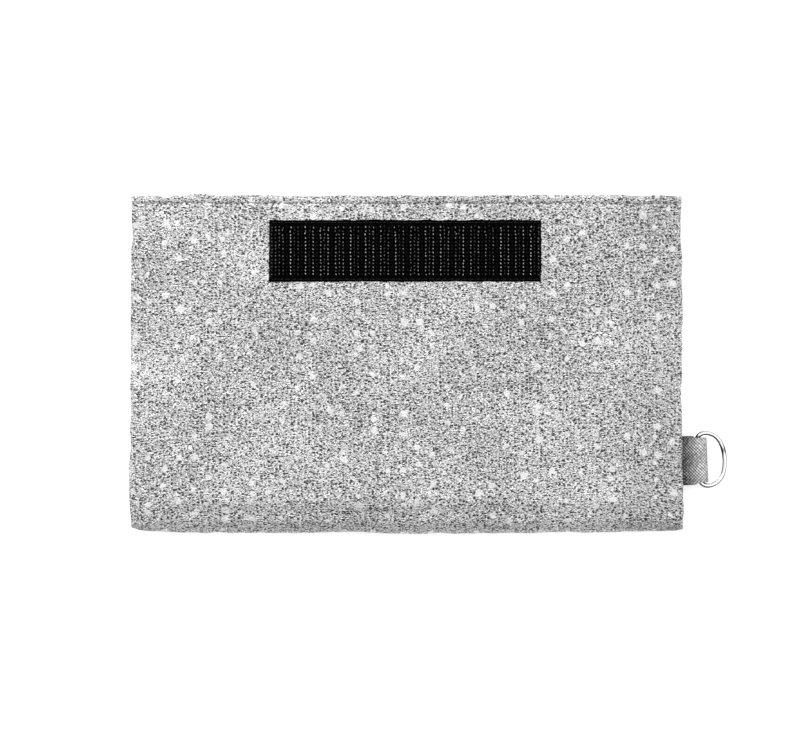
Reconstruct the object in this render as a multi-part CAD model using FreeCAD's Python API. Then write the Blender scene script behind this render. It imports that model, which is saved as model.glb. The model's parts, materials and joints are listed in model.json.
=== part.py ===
"""Flat fire-resistant pouch for lithium-polymer packs, lying on its back with the front upwards.

One strip of aluminised glass cloth makes the front, the bottom fold, the back and the flap, with a
plain glass-cloth liner inside it. The flap leaves the back at the mouth, and is folded away under
the back. It closes over the mouth onto a strip of hook tape. It bends at three fold lines: two close
together, where it turns round the mouth's edge, and one where it comes down onto the front. A
webbing tab in the right side seam holds a D-ring.

Millimetres. +X runs along the mouth towards the ring, +Y from the bottom fold to the mouth and +Z
out of the front. The origin is under the middle of the whole object, on the plane that it rests on.
"""

import FreeCAD, Part
import math
import os

# The bag
BAG_WIDTH = 224.0
BAG_HEIGHT = 137.0
BAG_DEPTH = 12.6  # across the bag's middle
EDGE_MIDDLE_Z = 5.3  # height of the side seams' middle
EDGE_THICKNESS = 4.0  # at the side seams
EDGE_SLOPE_WIDTH = 24.0  # from a side seam to the flat middle
CORNER_INSET = 0.6  # how far the bottom fold draws in at a side seam

# Cloth, thread and webbing
CLOTH = 0.8
LINER = 0.5
THREAD = 0.3
THREAD_WIDTH = 0.5
GAP = 0.3  # kept between parts that move past each other
HEM_WIDTH = 8.0

# The mouth
MOUTH_STITCH_IN = 3.2  # from the mouth's edge

# Side seams
SEAM_WIDTH = 8.0
SEAM_STITCH_IN = 6.0
SEAM_END_GAP = 1.5  # from a seam's end to the bottom fold

# Hook and loop tapes
TAPE_LENGTH = 110.4
TAPE_WIDTH = 25.0
TAPE_BASE = 0.5
HOOK_HEIGHT = 0.9
PILE_HEIGHT = 0.8
TAPE_X = -0.5
TAPE_FROM_MOUTH = 10.1
TAPE_SELVAGE = 2.2
TAPE_END_MARGIN = 1.0
TAPE_STITCH_IN = 0.75

# The flap: a turn at the mouth, a wrap that crosses the bag's edge, and the panel beyond it
FLAP_WIDTH = 216.0
FLAP_MARGIN = 10.0  # from the loop tape to the free edge
TURN_FROM_MOUTH = 1.5  # the turn's two fold lines lie this far inside the mouth's edge
TURN_SPREAD = 90.0  # degrees of the turned cloth that are modelled as one stiff piece
CLOSED_LEAN = 25.0  # degrees that the closed wrap leans out from upright
FOLD_CLEARANCE = 1.3  # from a fold line of the turn to the cloth on each side of it
WRAP_HEM_FROM_TURN = 4.4  # past the front's low corners when the flap is closed
STEP_HALF_LENGTH = 4.0  # of the slope where the back steps up over the flap

# The ring tab. Lengths along it are from its pivot.
TAB_Y = -39.3
TAB_WIDTH = 19.9
TAB_RING_WIDTH = 17.8  # where it passes round the ring
WEBBING = 0.7
TAB_PIVOT_OUT = 1.2  # from the side seam's edge
TAB_SKEW = 2.5  # degrees, in the tab's own plane
LOOP_ROOT = 0.3
LOOP_EYE_START = 1.6  # where the webbing's layers part
LOOP_EYE_TIP = 0.2
LOOP_EYE_MIDDLE = 6.1
LOOP_EYE_RADIUS = 2.4
BAR_FROM_PIVOT = 5.55

# The D-ring
WIRE = 1.9
RING_HALF_HEIGHT = 10.75  # centreline, along the bar
RING_REACH = 11.4  # centreline, from the bar to the far side
RING_CORNER = 3.6
RING_SHOULDER = 7.2
RING_SKEW = 2.5  # degrees further than the tab

# Worked out from the sizes above
LAYERS = CLOTH + LINER
HALF_WIDTH = BAG_WIDTH / 2
HALF_HEIGHT = BAG_HEIGHT / 2
FLAT_HALF = HALF_WIDTH - EDGE_SLOPE_WIDTH
EDGE_TOP_Z = EDGE_MIDDLE_Z + EDGE_THICKNESS / 2
EDGE_BOTTOM_Z = EDGE_MIDDLE_Z - EDGE_THICKNESS / 2
FOLD_Y = -HALF_HEIGHT + BAG_DEPTH / 2
FOLD_EDGE_Y = -HALF_HEIGHT + CORNER_INSET + EDGE_THICKNESS / 2
SEAM_THICKNESS = EDGE_THICKNESS - 2 * LAYERS
FLAP_FACE_Z = TAPE_BASE + PILE_HEIGHT  # the flap's liner side, standing on its loop tape
FLAP_TOP_Z = FLAP_FACE_Z + LAYERS
BACK_STEP_Z = FLAP_TOP_Z + GAP
TAPE_Y = HALF_HEIGHT - TAPE_FROM_MOUTH - TAPE_WIDTH / 2
HOOK_TOP_Z = BAG_DEPTH + TAPE_BASE + HOOK_HEIGHT

# The flap's fold lines. Both of the turn's lie in the middle of the cloth that they bend, one above
# the other, and each takes half of the turn. The third lies on the flap's liner side. The closed
# flap's liner side is just above the mated tapes.
TURN_Y = HALF_HEIGHT - TURN_FROM_MOUTH
TURN_MIDDLE_Z = FLAP_TOP_Z + GAP / 2
UPPER_FOLD_Z = BACK_STEP_Z + LAYERS / 2
LOWER_FOLD_Z = FLAP_TOP_Z - LAYERS / 2
WHOLE_TURN = 270.0 - CLOSED_LEAN
FLAP_TURN = 360.0 - WHOLE_TURN
LEAN = math.radians(CLOSED_LEAN)
TURN_SLOPE = math.radians(WHOLE_TURN / 2 - 90.0)  # of the turn itself, when the flap is closed
TURN_LENGTH = UPPER_FOLD_Z - LOWER_FOLD_Z
CLOSED_FOLD_Y = TURN_Y + TURN_LENGTH * math.cos(TURN_SLOPE)
CLOSED_FOLD_Z = UPPER_FOLD_Z + TURN_LENGTH * math.sin(TURN_SLOPE)
CLOSED_FACE_Z = HOOK_TOP_Z + GAP + FLAP_FACE_Z
WRAP_LENGTH = (CLOSED_FACE_Z - CLOSED_FOLD_Z - LAYERS / 2 * math.sin(LEAN)) / math.cos(LEAN)
BEND_LINE_Y = TURN_Y - WRAP_LENGTH
CLOSED_BEND_Y = CLOSED_FOLD_Y + WRAP_LENGTH * math.sin(LEAN) - LAYERS / 2 * math.cos(LEAN)
LOOP_TAPE_FROM_BEND = CLOSED_BEND_Y - (TAPE_Y + TAPE_WIDTH / 2)
FLAP_LENGTH = LOOP_TAPE_FROM_BEND + TAPE_WIDTH + FLAP_MARGIN
LOOP_TAPE_Y = BEND_LINE_Y - LOOP_TAPE_FROM_BEND - TAPE_WIDTH / 2

# The back, from the bottom fold to the mouth: (y, height in the bag's middle). It steps up over the
# folded flap.
BACK_STATIONS = [
    (-HALF_HEIGHT, 0.0),
    (-STEP_HALF_LENGTH, 0.0),
    (STEP_HALF_LENGTH, BACK_STEP_Z),
    (TURN_Y - FOLD_CLEARANCE, BACK_STEP_Z),
]
BELOW_RECESS, RECESS = BACK_STATIONS[:3], BACK_STATIONS[2:]

# The ring's far side is one flatter arc about a point on the middle line. It meets both shoulders.
SHOULDER_V = RING_HALF_HEIGHT - RING_SHOULDER
RING_INSET = RING_REACH - RING_SHOULDER
FAR_U = (RING_INSET**2 - RING_CORNER**2 - SHOULDER_V**2) / (2 * (RING_INSET - RING_CORNER))
FAR_RADIUS = RING_REACH - FAR_U

# The tab and ring slope down from the seam until the ring's far side lies on the ground.
WHOLE_SKEW = math.radians(TAB_SKEW + RING_SKEW)
BAR_REACH = BAR_FROM_PIVOT * math.cos(math.radians(TAB_SKEW))
FAR_REACH = BAR_REACH + FAR_U * math.cos(WHOLE_SKEW) + FAR_RADIUS
TAB_SLOPE = math.asin((EDGE_MIDDLE_Z - WIRE / 2) / FAR_REACH)
TAB_PIVOT = FreeCAD.Vector(HALF_WIDTH + TAB_PIVOT_OUT, TAB_Y, EDGE_MIDDLE_Z)
SLOPE_TURN = FreeCAD.Rotation(FreeCAD.Vector(0, 1, 0), math.degrees(TAB_SLOPE))
TAB_TURN = FreeCAD.Rotation(FreeCAD.Vector(0, 0, 1), TAB_SKEW)
RING_TURN = FreeCAD.Rotation(FreeCAD.Vector(0, 0, 1), RING_SKEW)
TAB_FRAME = FreeCAD.Placement(TAB_PIVOT, SLOPE_TURN * TAB_TURN)
BAR_PLACE = FreeCAD.Placement(FreeCAD.Vector(BAR_FROM_PIVOT, 0, 0), RING_TURN)
RING_FRAME = TAB_FRAME.multiply(BAR_PLACE)

# The origin lies under the middle of the bag and ring together.
FAR_X = TAB_PIVOT.x + FAR_REACH * math.cos(TAB_SLOPE) + WIRE / 2
ORIGIN_X = (FAR_X - HALF_WIDTH) / 2


def point(x, y, z):
    return FreeCAD.Vector(x, y, z)


def box(x0, x1, y0, y1, z0, z1):
    return Part.makeBox(x1 - x0, y1 - y0, z1 - z0, point(x0, y0, z0))


def closed_polygon(points):
    return Part.makePolygon(points + points[:1])


def crowned_outline(y, middle_z, edge_z, low, high, half_width=HALF_WIDTH):
    """The closed X-Z section of one layer that is flat in the middle and slopes to its edges.

    low and high are the layer's faces, counted from the surface that middle_z and edge_z give.
    """
    share = (half_width - FLAT_HALF) / EDGE_SLOPE_WIDTH
    end_z = middle_z + (edge_z - middle_z) * share
    chain = [(-half_width, end_z), (-FLAT_HALF, middle_z), (FLAT_HALF, middle_z), (half_width, end_z)]
    top = [point(x, y, z + high) for x, z in chain]
    under = [point(x, y, z + low) for x, z in reversed(chain)]
    return closed_polygon(top + under)


def bag_outline_prism():
    """Everything above and below the panels' outline, which the bottom fold's ends draw in."""
    outline = [
        (-HALF_WIDTH, FOLD_EDGE_Y),
        (-FLAT_HALF, FOLD_Y),
        (FLAT_HALF, FOLD_Y),
        (HALF_WIDTH, FOLD_EDGE_Y),
        (HALF_WIDTH, BAG_HEIGHT),
        (-HALF_WIDTH, BAG_HEIGHT),
    ]
    foot = Part.Face(closed_polygon([point(x, y, -BAG_DEPTH) for x, y in outline]))
    return foot.extrude(point(0, 0, 3 * BAG_DEPTH))


def front_strip(low, high, y0, y1, half_width=HALF_WIDTH):
    """A layer that follows the front, with its faces at low and high from the outer surface."""
    outline = crowned_outline(y0, BAG_DEPTH, EDGE_TOP_Z, low, high, half_width)
    return Part.Face(outline).extrude(point(0, y1 - y0, 0))


def front_layer(low, high):
    return front_strip(low, high, -HALF_HEIGHT, HALF_HEIGHT).common(bag_outline_prism())


def back_layer(low, high, stations):
    """A layer of the back, along the given stations."""
    sections = [crowned_outline(y, z, EDGE_BOTTOM_Z, low, high) for y, z in stations]
    return Part.makeLoft(sections, True, True).common(bag_outline_prism())


def ring_section(x, centre_y, centre_z, outer, inner, start, end):
    """The closed Y-Z section of a bent layer, between two angles in degrees from +Y towards +Z."""

    def at(radius, angle):
        turn = math.radians(angle)
        return point(x, centre_y + radius * math.cos(turn), centre_z + radius * math.sin(turn))

    middle = (start + end) / 2
    edges = [
        Part.Arc(at(outer, start), at(outer, middle), at(outer, end)).toShape(),
        Part.LineSegment(at(outer, end), at(inner, end)).toShape(),
        Part.Arc(at(inner, end), at(inner, middle), at(inner, start)).toShape(),
        Part.LineSegment(at(inner, start), at(outer, start)).toShape(),
    ]
    return Part.Wire(edges)


def fold_layer(low, high):
    """A layer of the bottom fold, low and high inside the outer surface."""
    middle = (FOLD_Y, BAG_DEPTH / 2)
    edge = (FOLD_EDGE_Y, EDGE_MIDDLE_Z)
    stations = [(-HALF_WIDTH, edge), (-FLAT_HALF, middle), (FLAT_HALF, middle), (HALF_WIDTH, edge)]
    sections = []
    for x, (y, z) in stations:
        radius = EDGE_THICKNESS / 2 if abs(x) == HALF_WIDTH else BAG_DEPTH / 2
        sections.append(ring_section(x, y, z, radius - low, radius - high, 90.0, 270.0))
    return Part.makeLoft(sections, True, True)


def mouth_hem():
    """The front's cloth turned in over the liner's edge."""
    half_width = HALF_WIDTH - SEAM_WIDTH - GAP
    return front_strip(-LAYERS - CLOTH, -LAYERS, HALF_HEIGHT - HEM_WIDTH, HALF_HEIGHT, half_width)


def mouth_hem_stitch():
    y = HALF_HEIGHT - MOUTH_STITCH_IN
    return front_strip(0.0, THREAD, y - THREAD_WIDTH / 2, y + THREAD_WIDTH / 2, HALF_WIDTH - 1.0)


def seam(side, spans):
    """The seam allowances inside a side edge, over each (y0, y1) of spans."""
    outer, inner = side * HALF_WIDTH, side * (HALF_WIDTH - SEAM_WIDTH)
    low = EDGE_MIDDLE_Z - SEAM_THICKNESS / 2
    high = EDGE_MIDDLE_Z + SEAM_THICKNESS / 2
    x0, x1 = sorted((outer, inner))
    return Part.makeCompound([box(x0, x1, y0, y1, low, high) for y0, y1 in spans])


def seam_stitch(side, y0, y1):
    x = side * (HALF_WIDTH - SEAM_STITCH_IN)
    low = EDGE_MIDDLE_Z + SEAM_THICKNESS / 2
    return box(x - THREAD_WIDTH / 2, x + THREAD_WIDTH / 2, y0, y1, low, low + THREAD)


def tab_anchor():
    """The webbing's two ends, sewn in between the seam allowances."""
    low = EDGE_MIDDLE_Z - SEAM_THICKNESS / 2
    y0, y1 = TAB_Y - TAB_WIDTH / 2, TAB_Y + TAB_WIDTH / 2
    return box(HALF_WIDTH - SEAM_WIDTH, HALF_WIDTH, y0, y1, low, low + SEAM_THICKNESS)


def tape_plate(y, low, high, end_margin=0.0, side_margin=0.0):
    half_length = TAPE_LENGTH / 2 - end_margin
    half_width = TAPE_WIDTH / 2 - side_margin
    x0, x1 = TAPE_X - half_length, TAPE_X + half_length
    return box(x0, x1, y - half_width, y + half_width, low, high)


def tape_stitch(y, low, high):
    """One line of thread round the edge of a tape."""
    inner = TAPE_STITCH_IN + THREAD_WIDTH
    ends_in = TAPE_END_MARGIN - THREAD_WIDTH - 0.1
    whole = tape_plate(y, low, high, ends_in, TAPE_STITCH_IN)
    hole = tape_plate(y, low - 1, high + 1, ends_in + THREAD_WIDTH, inner)
    return whole.cut(hole)


def flap_plate(y0, y1, low, high):
    return box(-FLAP_WIDTH / 2, FLAP_WIDTH / 2, y0, y1, low, high)


def flap_side_hems(y0, y1, low, high):
    outer, inner = FLAP_WIDTH / 2, FLAP_WIDTH / 2 - HEM_WIDTH
    return [box(-outer, -inner, y0, y1, low, high), box(inner, outer, y0, y1, low, high)]


def bend_room():
    """How far a hem stays from the flap's third fold line, so that the hem clears it when folded."""
    return CLOTH * math.tan(math.radians(FLAP_TURN / 2)) + GAP


def turn_layer(inner, outer):
    """A layer of the cloth that turns round the mouth's edge, facing away from the bag."""
    half_spread = TURN_SPREAD / 2
    x = -FLAP_WIDTH / 2
    section = ring_section(x, TURN_Y, TURN_MIDDLE_Z, outer, inner, -half_spread, half_spread)
    return Part.Face(section).extrude(point(FLAP_WIDTH, 0, 0))


def wrap_hem():
    """The turned-in side edges of the wrap."""
    y0, y1 = BEND_LINE_Y + bend_room(), TURN_Y - WRAP_HEM_FROM_TURN
    return Part.makeCompound(flap_side_hems(y0, y1, FLAP_FACE_Z - CLOTH, FLAP_FACE_Z))


def flap_free_y():
    return BEND_LINE_Y - FLAP_LENGTH


def flap_hem():
    """The turned-in edges of the flap's panel: both sides and the free edge."""
    y0, y1 = flap_free_y(), BEND_LINE_Y - bend_room()
    low, high = FLAP_FACE_Z - CLOTH, FLAP_FACE_Z
    left, right = flap_side_hems(y0, y1, low, high)
    free_edge = flap_plate(y0, y0 + HEM_WIDTH, low, high)
    return free_edge.multiFuse([left, right]).removeSplitter()


def flap_hem_stitch():
    """One line of thread along the flap's hem, just outside the hem's inner edge."""
    low, high = FLAP_FACE_Z - CLOTH - THREAD, FLAP_FACE_Z - CLOTH
    outer = FLAP_WIDTH / 2 - HEM_WIDTH + 2 * THREAD_WIDTH
    y0, y1 = flap_free_y() + HEM_WIDTH - 2 * THREAD_WIDTH, BEND_LINE_Y - 2 * FOLD_CLEARANCE
    whole = box(-outer, outer, y0, y1, low, high)
    inner = outer - THREAD_WIDTH
    return whole.cut(box(-inner, inner, y0 + THREAD_WIDTH, y1 + 1, low - 1, high + 1))


def teardrop(tip_u, tip_radius, bulb_u, bulb_radius):
    """A face in the tab's own U-V plane: a small and a large circle joined by their tangents."""
    spread = math.acos((bulb_radius - tip_radius) / (bulb_u - tip_u))
    bulb_angle = math.pi - spread

    def on(u, radius, angle):
        return point(u + radius * math.cos(angle), -TAB_WIDTH / 2, radius * math.sin(angle))

    bulb_up, bulb_down = on(bulb_u, bulb_radius, bulb_angle), on(bulb_u, bulb_radius, -bulb_angle)
    tip_up, tip_down = on(tip_u, tip_radius, bulb_angle), on(tip_u, tip_radius, -bulb_angle)
    edges = [
        Part.LineSegment(tip_up, bulb_up).toShape(),
        Part.Arc(bulb_up, on(bulb_u, bulb_radius, 0.0), bulb_down).toShape(),
        Part.LineSegment(bulb_down, tip_down).toShape(),
        Part.Arc(tip_down, on(tip_u, tip_radius, math.pi), tip_up).toShape(),
    ]
    return Part.Face(Part.Wire(edges))


def tab_outline():
    """The webbing seen from above. It is drawn in where it passes round the ring."""
    wide, narrow = TAB_WIDTH / 2, TAB_RING_WIDTH / 2
    drawn_in = BAR_FROM_PIVOT / 2
    far = 2 * BAR_FROM_PIVOT
    right = [(0.0, wide), (drawn_in, narrow), (far, narrow)]
    left = [(u, -v) for u, v in reversed(right)]
    foot = Part.Face(closed_polygon([point(u, v, -far) for u, v in right + left]))
    return foot.extrude(point(0, 0, 2 * far))


def tab_loop():
    """The webbing folded round the ring's bar, with its two layers together at the root."""
    across = point(0, TAB_WIDTH, 0)
    outer = teardrop(LOOP_ROOT + WEBBING, WEBBING, LOOP_EYE_MIDDLE, LOOP_EYE_RADIUS + WEBBING)
    eye = teardrop(LOOP_EYE_START, LOOP_EYE_TIP, LOOP_EYE_MIDDLE, LOOP_EYE_RADIUS)
    loop = outer.extrude(across).cut(eye.extrude(across)).common(tab_outline())
    loop.Placement = TAB_FRAME
    return loop


def wire_arc(centre, radius, start, turn):
    """A bent length of the ring's wire, in the ring's own plane. Angles in degrees from +U."""
    at = math.radians(start)
    middle = centre + point(radius * math.cos(at), radius * math.sin(at), 0)
    along = point(-math.sin(at), math.cos(at), 0)
    section = Part.Face(Part.Wire(Part.makeCircle(WIRE / 2, middle, along)))
    return section.revolve(centre, point(0, 0, 1), turn)


def d_ring():
    """A bar, two corners, two shoulders and a flatter far side, each tangent to the next."""
    bar_half = RING_HALF_HEIGHT - RING_CORNER
    half_turn = math.degrees(math.atan2(SHOULDER_V, RING_CORNER - FAR_U))
    pieces = [Part.makeCylinder(WIRE / 2, 2 * bar_half, point(0, -bar_half, 0), point(0, 1, 0))]
    pieces.append(wire_arc(point(FAR_U, 0, 0), FAR_RADIUS, -half_turn, 2 * half_turn))
    for side in (1, -1):
        shoulder = point(RING_CORNER, side * SHOULDER_V, 0)
        corner = point(RING_CORNER, side * bar_half, 0)
        pieces.append(wire_arc(shoulder, RING_SHOULDER, side * half_turn, side * (90 - half_turn)))
        pieces.append(wire_arc(corner, RING_CORNER, side * 90, side * 90))
    ring = pieces[0].multiFuse(pieces[1:]).removeSplitter()
    ring.Placement = RING_FRAME
    return ring


def bag_nodes():
    seam_y0, seam_y1 = FOLD_Y - CORNER_INSET / 2 + GAP, TURN_Y - FOLD_CLEARANCE - GAP
    tab_y0, tab_y1 = TAB_Y - TAB_WIDTH / 2 - GAP, TAB_Y + TAB_WIDTH / 2 + GAP
    return {
        "front_cloth": front_layer(-CLOTH, 0.0),
        "bottom_fold_cloth": fold_layer(0.0, CLOTH),
        "back_cloth": back_layer(0.0, CLOTH, BELOW_RECESS),
        "back_recess_cloth": back_layer(0.0, CLOTH, RECESS),
        "front_liner": front_layer(-LAYERS, -CLOTH),
        "bottom_fold_liner": fold_layer(CLOTH, LAYERS),
        "back_liner": back_layer(CLOTH, LAYERS, BACK_STATIONS),
        "mouth_hem": mouth_hem(),
        "mouth_hem_stitch": mouth_hem_stitch(),
        "seam_left": seam(-1, [(seam_y0, seam_y1)]),
        "seam_right": seam(1, [(seam_y0, tab_y0), (tab_y1, seam_y1)]),
        "seam_stitch_left": seam_stitch(-1, seam_y0, seam_y1),
        "seam_stitch_right": seam_stitch(1, seam_y0, seam_y1),
        "hook_tape": tape_plate(TAPE_Y, BAG_DEPTH, BAG_DEPTH + TAPE_BASE),
        "hook_field": tape_plate(
            TAPE_Y, BAG_DEPTH + TAPE_BASE, HOOK_TOP_Z, TAPE_END_MARGIN, TAPE_SELVAGE
        ),
        "hook_tape_stitch": tape_stitch(
            TAPE_Y, BAG_DEPTH + TAPE_BASE, BAG_DEPTH + TAPE_BASE + THREAD
        ),
        "tab_anchor": tab_anchor(),
    }


def flap_nodes():
    turn_inside = GAP / 2
    wrap_y0, wrap_y1 = BEND_LINE_Y + GAP, TURN_Y - FOLD_CLEARANCE
    flap_y0, flap_y1 = flap_free_y(), BEND_LINE_Y - GAP
    liner_z = FLAP_FACE_Z + LINER
    return {
        "turn_cloth": turn_layer(turn_inside, turn_inside + CLOTH),
        "turn_liner": turn_layer(turn_inside + CLOTH, turn_inside + LAYERS),
        "wrap_cloth": flap_plate(wrap_y0, wrap_y1, liner_z, FLAP_TOP_Z),
        "wrap_liner": flap_plate(wrap_y0, wrap_y1, FLAP_FACE_Z, liner_z),
        "wrap_hem": wrap_hem(),
        "flap_cloth": flap_plate(flap_y0, flap_y1, liner_z, FLAP_TOP_Z),
        "flap_liner": flap_plate(flap_y0, flap_y1, FLAP_FACE_Z, liner_z),
        "flap_hem": flap_hem(),
        "flap_hem_stitch": flap_hem_stitch(),
        "loop_tape": tape_plate(LOOP_TAPE_Y, PILE_HEIGHT, FLAP_FACE_Z),
        "loop_pile": tape_plate(LOOP_TAPE_Y, 0.0, PILE_HEIGHT, TAPE_END_MARGIN, TAPE_SELVAGE),
        "loop_tape_stitch": tape_stitch(LOOP_TAPE_Y, PILE_HEIGHT - THREAD, PILE_HEIGHT),
    }


def ring_nodes():
    return {"tab_loop": tab_loop(), "d_ring": d_ring()}


def main():
    os.makedirs("parts", exist_ok=True)
    nodes = {**bag_nodes(), **flap_nodes(), **ring_nodes()}
    for name, shape in nodes.items():
        shape.translate(point(-ORIGIN_X, 0, 0))
        shape.exportStep(f"parts/{name}.step")
        bounds = shape.optimalBoundingBox(False)
        print(
            f"{name:20s} solids {len(shape.Solids)} valid {shape.isValid()} volume {shape.Volume:9.1f}"
            f"  x {bounds.XMin:7.2f} {bounds.XMax:7.2f}  y {bounds.YMin:7.2f} {bounds.YMax:7.2f}"
            f"  z {bounds.ZMin:6.2f} {bounds.ZMax:6.2f}"
        )


main()
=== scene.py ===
"""The looks of the lipo safe bag: crinkled silver cloth, hook and loop tapes, webbing tab and D-ring.

Every length below is in millimetres until a mesh is made. The bag's own x is counted from the middle
of the bag. Each panel of cloth is one grid of points that follows the strip of cloth from the mouth's
hem, down the front, round the bottom and up the back. Its creases are moved points, not simulation.
"""

import json
from math import asin, atan2, cos, pi, radians, sin, sqrt

import bpy
import numpy as np
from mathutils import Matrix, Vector


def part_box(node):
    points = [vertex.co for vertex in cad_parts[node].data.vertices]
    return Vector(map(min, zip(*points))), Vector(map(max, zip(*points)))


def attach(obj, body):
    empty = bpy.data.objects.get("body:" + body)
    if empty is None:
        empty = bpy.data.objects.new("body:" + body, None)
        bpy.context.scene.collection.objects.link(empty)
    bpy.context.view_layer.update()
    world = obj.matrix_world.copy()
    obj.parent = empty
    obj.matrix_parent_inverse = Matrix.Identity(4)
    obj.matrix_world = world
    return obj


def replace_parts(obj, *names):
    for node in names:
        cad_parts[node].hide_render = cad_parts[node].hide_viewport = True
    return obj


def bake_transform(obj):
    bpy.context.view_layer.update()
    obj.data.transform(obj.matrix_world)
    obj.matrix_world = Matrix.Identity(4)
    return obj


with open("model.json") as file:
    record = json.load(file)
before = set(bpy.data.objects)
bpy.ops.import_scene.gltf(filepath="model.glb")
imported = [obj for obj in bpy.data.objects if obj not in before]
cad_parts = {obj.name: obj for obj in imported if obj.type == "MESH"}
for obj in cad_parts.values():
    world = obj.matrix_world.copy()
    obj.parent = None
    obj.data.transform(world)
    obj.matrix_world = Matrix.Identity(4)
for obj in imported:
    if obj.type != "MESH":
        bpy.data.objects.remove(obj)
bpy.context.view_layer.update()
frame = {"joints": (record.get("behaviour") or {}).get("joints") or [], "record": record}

MM = 0.001
JOINTS = {j["name"]: j for j in frame["joints"]}


def corner_mm(node):
    """The lowest and highest corners of a CAD node."""
    low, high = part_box(node)
    return np.array(low) / MM, np.array(high) / MM


def joint_mm(name):
    return np.array(JOINTS[name]["pos_m"]) / MM


# Where the CAD has things
FRONT_LOW, FRONT_HIGH = corner_mm("front_cloth")
RECESS_LOW, RECESS_HIGH = corner_mm("back_recess_cloth")
FLAP_LOW, FLAP_HIGH = corner_mm("flap_cloth")
TAPE_LOW, TAPE_HIGH = corner_mm("hook_tape")
LOOP_LOW, LOOP_HIGH = corner_mm("loop_tape")
SHIFT_X = (FRONT_LOW[0] + FRONT_HIGH[0]) / 2  # from the bag's own x to the frame's
HALF_WIDTH = (FRONT_HIGH[0] - FRONT_LOW[0]) / 2
DEPTH = FRONT_HIGH[2]
MOUTH_Y = FRONT_HIGH[1]
FOLD_Y = corner_mm("bottom_fold_cloth")[1][1]
EDGE_Z = joint_mm("tab_fold")[2]
RECESS_Z = RECESS_LOW[2]
BACK_END_Y = RECESS_HIGH[1]
TURN_Y = joint_mm("mouth_fold")[1]
BEND_Y = joint_mm("flap_fold")[1]
FLAP_HALF = (FLAP_HIGH[0] - FLAP_LOW[0]) / 2
FLAP_Z = FLAP_HIGH[2]
FREE_Y = FLAP_LOW[1]

# Cloth
CLOTH = 0.8  # thickness
LINER = 0.5  # thickness
LIP = 1.0  # radius of the folded side edges
HEM_ROLL = CLOTH + LINER / 2  # radius of a turned-in edge, with the liner inside it
HEM = 8.0
SEAM = 8.0
MOUTH_STITCH_IN = 3.2  # from the mouth to its stitches
STEP_HALF = 4.0  # half the length of the step in the back

# The bag's shape
FLAT_HALF = 84.0  # the front falls towards the sides beyond this
SIDE_FALL = 1.55  # power of that fall
EDGE_HALF = 2.0  # half the bag's thickness at its sides
LEAST_RADIUS = 0.06
CORNER_ROUND = 0.5
CORNER_START = 2.4  # where the right corner begins, from the side
LEFT_START, LEFT_ROUND = 2.0, 2.2  # the left corner's, as multiples of the right one's
SIDE_BULGE = 0.6
SIDE_WAIST = 0.7
WAIST_Y, WAIST_REACH = 54.0, 9.0
BOTTOM_BOW = 0.9
SAG = 1.4  # how far the empty front sags, just before the bottom fold
SAG_LENGTH = 7.0


def ease(t):
    t = np.clip(t, 0.0, 1.0)
    return t * t * (3 - 2 * t)


def bell(t):
    return np.exp(-(t**2))


def window(value, low, high, soft):
    return ease((value - low) / soft + 0.5) * ease((high - value) / soft + 0.5)


def unit(v):
    return v / np.maximum(np.linalg.norm(v, axis=-1, keepdims=True), 1e-9)


def level(x, y):
    """Points at height 0."""
    return np.stack([x, y, np.zeros_like(x)], axis=-1)


def lengths(path):
    """How far along the path each of its points is."""
    return np.concatenate([[0], np.cumsum(np.linalg.norm(np.diff(path, axis=0), axis=1))])


def both_sides(right, middle):
    """Columns from left to right, with the right side's mirrored on the left."""
    return np.concatenate([-right[::-1], middle, right])


def row_list(*runs):
    """The kind and value of each row of a grid, from runs of one kind."""
    kinds = np.concatenate([[kind] * len(values) for kind, values in runs])
    return kinds, np.concatenate([values for kind, values in runs])


def steps(start, end, spacing):
    """Evenly spaced values from start up to, but without, end."""
    return np.linspace(start, end, max(2, round(abs(end - start) / spacing)), endpoint=False)


# ---- random creases

PERIOD = 512


def wave_field(seed, shortest, longest, stretch=1.0):
    """Random heights, RMS 1, on a repeating square: waves between the two lengths. stretch is across."""
    white = np.random.default_rng(seed).standard_normal((PERIOD, PERIOD))
    f = np.fft.fftfreq(PERIOD)
    k = np.hypot(f[:, None], f[None, :] * stretch) + 1e-9
    band = np.exp(-((k * shortest) ** 4)) * (1 - np.exp(-((k * longest) ** 4)))
    heights = np.real(np.fft.ifft2(np.fft.fft2(white) * band))
    return heights / heights.std()


def sample(field, s, t):
    """Heights of a field at strip coordinates s across and t along, in millimetres."""
    s, t = np.asarray(s, float) % PERIOD, np.asarray(t, float) % PERIOD
    i, j = np.floor(t).astype(int), np.floor(s).astype(int)
    a, b = t - i, s - j
    i, j = i % PERIOD, j % PERIOD
    i1, j1 = (i + 1) % PERIOD, (j + 1) % PERIOD
    top = field[i, j] * (1 - b) + field[i, j1] * b
    low = field[i1, j] * (1 - b) + field[i1, j1] * b
    return top * (1 - a) + low * a


SWELL = wave_field(11, 24, 90)
CRUMPLE = wave_field(12, 6.0, 24, 1.3)
CRINKLE = wave_field(13, 2.6, 6.5, 1.4)
EDGE_WAVE = wave_field(14, 9, 60)


def creases(s, t, amount=1.0):
    broad = 0.16 * sample(SWELL, s, t) + 0.075 * sample(CRUMPLE, s, t)
    return amount * (broad + 0.05 * sample(CRINKLE, s, t))


# ---- mesh helpers


def add_object(name, data):
    o = bpy.data.objects.new(name, data)
    bpy.context.scene.collection.objects.link(o)
    return o


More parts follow.
